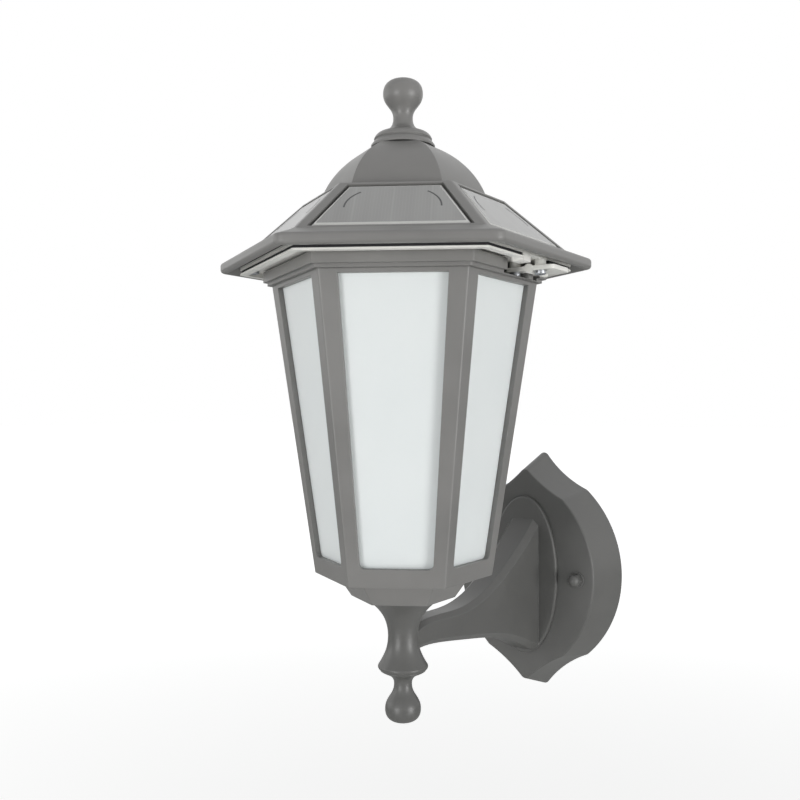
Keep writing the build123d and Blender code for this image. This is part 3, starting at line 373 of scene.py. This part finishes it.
def line_pattern(tree, across, spacing, width):
    """One on thin lines at a spacing along a coordinate, zero between them."""
    step = add(tree, "ShaderNodeMath", {0: across, 1: spacing / 2}, operation="PINGPONG")
    line = add(tree, "ShaderNodeMath", {
        0: step.outputs["Value"], 1: width / 2}, operation="LESS_THAN")
    return line.outputs["Value"]


def solar_laminate(name, code, band_code, line_code):
    """Cells with fingers and bus bars under a satin cover."""
    material, tree, surface = new_material(name)
    sheet = add(tree, "ShaderNodeUVMap", uv_map="panel_mm").outputs["UV"]
    across = add(tree, "ShaderNodeSeparateXYZ", {"Vector": sheet}).outputs["X"]
    wide = add(tree, "ShaderNodeMapping", {
        "Vector": sheet, "Scale": (1 / band_width, 1 / band_length, 1.0)})
    band = add(tree, "ShaderNodeTexNoise", {
        "Vector": wide.outputs["Vector"], "Scale": 1.0, "Detail": 2.0})
    tone = add(tree, "ShaderNodeMapRange", {
        "Value": band.outputs["Fac"], "From Min": 0.35, "From Max": 0.65})
    cells = add(tree, "ShaderNodeMix", {
        "Factor": tone.outputs["Result"], "A": linear(code), "B": linear(band_code)},
        data_type="RGBA")
    fingers = line_pattern(tree, across, finger_spacing, finger_width)
    bus_bars = line_pattern(tree, across, bus_spacing, bus_width)
    lines = add(tree, "ShaderNodeMath", {0: fingers, 1: bus_bars}, operation="MAXIMUM")
    share = add(tree, "ShaderNodeMath", {
        0: lines.outputs["Value"], 1: line_share}, operation="MULTIPLY")
    colour = add(tree, "ShaderNodeMix", {
        "Factor": share.outputs["Value"], "A": cells.outputs["Result"],
        "B": linear(line_code)}, data_type="RGBA")
    shader = add(tree, "ShaderNodeBsdfPrincipled", {
        "Base Color": colour.outputs["Result"], "Roughness": 0.5, "IOR": 1.5, "Coat Weight": 0.7,
        "Coat Roughness": 0.16, "Sheen Weight": 0.35, "Sheen Roughness": 0.4})
    tree.links.new(shader.outputs["BSDF"], surface)
    return material


cell_laminate = solar_laminate("solar_cell_laminate", "838381", "8f8f8d", "b4b5b3")
cover_edge = frosted_glass("ground_cover_edge", "e2e2de", "d6d6d2")
lead_film = moulded_plastic("dark_lead_film", "3b3b3d", 0.4, 1.2, 0.1)
print("panel finishes:", cell_laminate.name, cover_edge.name, lead_film.name)

# %% [markdown]
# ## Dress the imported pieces
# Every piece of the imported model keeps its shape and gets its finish. Finishes could be given
# piece by piece, but the record says which material slot each piece belongs to, so one table from
# slot to finish covers them all.

# %% Finishes by slot
finish_of_slot = {
    "bracket_paint": bracket_paint,
    "lantern_paint": lantern_paint,
    "black_rubber": seal_rubber,
    "zinc_steel": zinc_steel,
    "spring_steel": spring_steel,
    "sheet_aluminium": sheet_aluminium,
    "frosted_glass": pane_glass,
    "solar_glass": cell_laminate,
    "white_plastic": white_abs,
    "white_board": white_mask,
    "led_lens": led_lens,
    "green_board": green_mask,
    "black_plastic": black_abs,
    "cell_sleeve": shrink_sleeve,
    "nickel_plate": nickel_plate,
}
for part in frame["record"]["subparts"]:
    piece = nodes[part["node"]]
    piece.data.materials.clear()
    piece.data.materials.append(finish_of_slot[part["material_slot"]])

# %% [markdown]
# ## Size, slope and place of a panel
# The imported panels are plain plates, one on each face of the roof. Their sizes could be typed in
# again, but then a change to the model would leave them behind, so they are measured. The plate on
# the +X face has its lowest point at a lower back corner and its innermost point at an upper one,
# and these two give the widths, the length, the slope and the middle of the back. From here on a
# panel is in millimetres, with X across it, Y up the slope and Z out of the roof.

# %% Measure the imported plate
low_box, high_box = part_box("solar_panel_1")
axis_y = (low_box[1] + high_box[1]) / 2
plate_points = [vert.co for vert in nodes["solar_panel_1"].data.vertices]
low_corner = min(plate_points, key=lambda point: point.z)
high_corner = min(plate_points, key=lambda point: point.x)
panel_low_half = abs(low_corner.y - axis_y) * mm_per_metre
panel_high_half = abs(high_corner.y - axis_y) * mm_per_metre
panel_run = (low_corner.x - high_corner.x) * mm_per_metre
panel_rise = (high_corner.z - low_corner.z) * mm_per_metre
panel_half_length = math.hypot(panel_run, panel_rise) / 2
roof_slope = math.atan2(panel_rise, panel_run)
back_middle = (low_corner + high_corner) / 2 * mm_per_metre
print("panel slope", round(math.degrees(roof_slope), 2), "half length", round(panel_half_length, 2))

# %% [markdown]
# ## Solar panel with its leads
# Four vertices make the trapezium, an extrusion gives it its thickness, and a bevel grinds the
# cover's edge. Two thin leads curve towards the upper corners. They could be curve objects, but a
# small rectangle spun about a point on the panel stays in the same mesh; it starts a little below
# the face, so that it is seated.

# %% Panel mesh
panel_thickness = 2.1
ground_edge = 1.5
lead_radius = 17.0
lead_centre_x = 7.0
lead_centre_y = -2.6
lead_half_width = 0.4
lead_proud = 0.06
lead_seat = 0.1
lead_sweep = math.radians(55)
lead_steps = 10
panel_finishes = (cell_laminate, cover_edge, lead_film)


def panel_plate():
    """Plate with cells on the front face, a ground edge around it and two leads on top."""
    shape = bmesh.new()
    outline = [(-panel_low_half, -panel_half_length), (panel_low_half, -panel_half_length),
               (panel_high_half, panel_half_length), (-panel_high_half, panel_half_length)]
    base = shape.faces.new([shape.verts.new((x, y, 0)) for x, y in outline])
    grown = bmesh.ops.extrude_face_region(shape, geom=[base])["geom"]
    raised = [item for item in grown if isinstance(item, bmesh.types.BMVert)]
    bmesh.ops.translate(shape, verts=raised, vec=(0, 0, panel_thickness))
    bmesh.ops.recalc_face_normals(shape, faces=shape.faces)
    rim = [edge for edge in shape.edges if all(vert in raised for vert in edge.verts)]
    ground = bmesh.ops.bevel(shape, geom=rim, offset=ground_edge, segments=3, profile=0.5,
                             affect="EDGES", material=-1)
    for face in ground["faces"]:
        face.material_index = panel_finishes.index(cover_edge)
        face.smooth = True
    plate_faces = set(shape.faces)
    near = lead_centre_x + lead_radius - lead_half_width
    far = lead_centre_x + lead_radius + lead_half_width
    foot = panel_thickness - lead_seat
    top = panel_thickness + lead_proud
    corners = [(near, foot), (far, foot), (far, top), (near, top)]
    for side in (1, -1):
        ring = [shape.verts.new((side * x, lead_centre_y, z)) for x, z in corners]
        section = shape.faces.new(ring)
        bmesh.ops.spin(shape, geom=[section, *section.edges, *section.verts], axis=(0, 0, 1),
                       cent=(side * lead_centre_x, lead_centre_y, 0), angle=side * lead_sweep,
                       steps=lead_steps, use_merge=False)
    lead_faces = [face for face in shape.faces if face not in plate_faces]
    bmesh.ops.recalc_face_normals(shape, faces=lead_faces)
    for face in lead_faces:
        face.material_index = panel_finishes.index(lead_film)
    uv = shape.loops.layers.uv.new("panel_mm")
    for face in shape.faces:
        for loop in face.loops:
            loop[uv].uv = (loop.vert.co.x, loop.vert.co.y)
    return shape


print("panel thickness", panel_thickness, "ground edge", ground_edge)

# %% [markdown]
# ## Lay the panels on the roof
# The roof has six equal faces about the lantern's axis. One matrix tips a panel to the slope and
# moves it out to its place on the +X face, a turn of 60 degrees leads to the next face, and a last
# matrix scales millimetres to metres and moves to the lantern's axis. Objects could be turned
# instead, but here the mesh takes the matrix, so that the object itself stays at the origin.

# %% Panels on the roof faces
roof_sides = 6
lay = Matrix((
    (0.0, -math.cos(roof_slope), math.sin(roof_slope), back_middle.x),
    (1.0, 0.0, 0.0, 0.0),
    (0.0, math.sin(roof_slope), math.cos(roof_slope), back_middle.z),
    (0.0, 0.0, 0.0, 1.0),
))
to_axis = Matrix.Translation((0.0, axis_y, 0.0)) @ Matrix.Scale(1 / mm_per_metre, 4)
for number in range(roof_sides):
    turn = Matrix.Rotation(math.radians(360 / roof_sides * number), 4, "Z")
    shape = panel_plate()
    shape.transform(to_axis @ turn @ lay)
    data = bpy.data.meshes.new(f"solar_panel_cells_{number + 1}")
    shape.to_mesh(data)
    shape.free()
    for finish in panel_finishes:
        data.materials.append(finish)
    panel = bpy.data.objects.new(data.name, data)
    bpy.context.scene.collection.objects.link(panel)
    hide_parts(f"solar_panel_{number + 1}")
    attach(panel, "roof")
print("panels rebuilt:", roof_sides, "vertices each:", len(data.vertices))

# %% [markdown]
# ## Floor
# A wall light hangs in the air, so the floor lies well below it. It is a pale matt plane. For
# camera rays it also glows a little, more so far away: it fades into the white surroundings
# without a horizon and still takes the soft shadow near the light. More lamp light would whiten it
# as well, but would burn out the panes.

# %% Floor
floor_drop = 0.45
floor_half = 30.0
floor_z = cad_box[0][2] - floor_drop
fade = {"From Min": 0.5, "From Max": 3.0, "To Min": 0.48, "To Max": 0.88}
floor_mesh = bmesh.new()
bmesh.ops.create_grid(floor_mesh, x_segments=1, y_segments=1, size=floor_half,
                      matrix=Matrix.Translation((0, 0, floor_z)))
floor_data = bpy.data.meshes.new("floor")
floor_mesh.to_mesh(floor_data)
floor_mesh.free()
floor = bpy.data.objects.new("floor", floor_data)
bpy.context.scene.collection.objects.link(floor)
floor_paint, tree, surface = new_material("pale_studio_floor")
paint = add(tree, "ShaderNodeBsdfDiffuse", {"Color": linear("e9e9e7")})
direct = add(tree, "ShaderNodeLightPath").outputs["Is Camera Ray"]
place = add(tree, "ShaderNodeTexCoord").outputs["Object"]
away = add(tree, "ShaderNodeVectorMath", {0: place}, operation="LENGTH")
lift = add(tree, "ShaderNodeMapRange", {"Value": away.outputs["Value"], **fade})
glow = add(tree, "ShaderNodeMath", {0: direct, 1: lift.outputs["Result"]}, operation="MULTIPLY")
white = add(tree, "ShaderNodeEmission", {
    "Color": linear("ffffff"), "Strength": glow.outputs["Value"]})
shader = add(tree, "ShaderNodeAddShader", {0: paint.outputs["BSDF"], 1: white.outputs["Emission"]})
tree.links.new(shader.outputs["Shader"], surface)
floor_data.materials.append(floor_paint)
print("floor at", round(floor_z, 4))

# %% [markdown]
# ## World
# The world gives an even, dim light from all around. Where the camera sees it, directly, in a
# reflection or through glass, it is plain white, so the light stands out and gloss shows the same
# white room. Light Path tells these rays apart.

# %% World
room_light = 0.36
scene = bpy.context.scene
scene.view_settings.view_transform = "Standard"
world = bpy.data.worlds.new("studio")
world.use_nodes = True
scene.world = world
tree = world.node_tree
tree.nodes.clear()
path = add(tree, "ShaderNodeLightPath")
mirrored = add(tree, "ShaderNodeMath", {
    0: path.outputs["Is Glossy Ray"], 1: path.outputs["Is Transmission Ray"]},
    operation="MAXIMUM")
seen = add(tree, "ShaderNodeMath", {
    0: path.outputs["Is Camera Ray"], 1: mirrored.outputs["Value"]}, operation="MAXIMUM")
room = add(tree, "ShaderNodeBackground", {"Color": linear("f2f3f5"), "Strength": room_light})
backdrop = add(tree, "ShaderNodeBackground", {"Color": linear("ffffff"), "Strength": 1.0})
mix = add(tree, "ShaderNodeMixShader", {
    0: seen.outputs["Value"], 1: room.outputs["Background"], 2: backdrop.outputs["Background"]})
add(tree, "ShaderNodeOutputWorld", {"Surface": mix.outputs["Shader"]})
print("world:", world.name, "room light", room_light)

# %% [markdown]
# ## Lamps
# Small hard lamps would draw sharp shadows on the panes, so all are wide discs. One in front
# lights the faces, one on the right lights the side panes and the plate's bevel, and weak ones on
# the left and on top keep the rest from going dark. They are set low enough that the panes don't
# burn out.

# %% Lamps
light_middle = Vector((0.0, -0.15, 0.11))
# Place in metres, disc width in metres, power in watts
lamps = {
    "key_lamp": ((-0.1, -1.7, -0.05), 0.7, 8.5),
    "right_lamp": ((1.75, -0.3, -0.05), 0.8, 15.0),
    "left_lamp": ((-1.4, -0.9, 0.3), 1.0, 3.0),
    "top_lamp": ((0.2, -0.3, 1.6), 1.2, 0.6),
}
for name, (spot, width, power) in lamps.items():
    lamp = bpy.data.lights.new(name, "AREA")
    lamp.shape = "DISK"
    lamp.size = width
    lamp.energy = power
    holder = bpy.data.objects.new(name, lamp)
    holder.location = spot
    holder.rotation_euler = (light_middle - Vector(spot)).to_track_quat("-Z", "Y").to_euler()
    scene.collection.objects.link(holder)
print("lamps:", list(lamps))

# %% [markdown]
# ## Camera
# The camera stands in front and to the right, at about half the lantern's height, and looks
# slightly up. A Track To constraint could aim it; two angles say the same in plain numbers. The
# focal length is given in pixels of the square picture, which a sensor as wide as the picture
# turns to millimetres.

# %% Camera
camera_place = (0.2870, -0.5976, 0.1144)
heading = math.radians(34.69)
rise = math.radians(0.55)
focal_px = 906
picture_px = 800
sensor_mm = 36.0
look = Vector((-math.sin(heading) * math.cos(rise), math.cos(heading) * math.cos(rise),
               math.sin(rise)))
camera_data = bpy.data.cameras.new("camera")
camera_data.sensor_width = sensor_mm
camera_data.lens = sensor_mm * focal_px / picture_px
camera = bpy.data.objects.new("camera", camera_data)
camera.location = camera_place
camera.rotation_euler = look.to_track_quat("-Z", "Y").to_euler()
scene.collection.objects.link(camera)
scene.camera = camera
print("camera at", [round(value, 3) for value in camera.location])

# %% [markdown]
# ## Size of the imported model
# The box around the imported model is printed.

# %% Size of the imported model
print("cad box", [list(corner) for corner in cad_box])
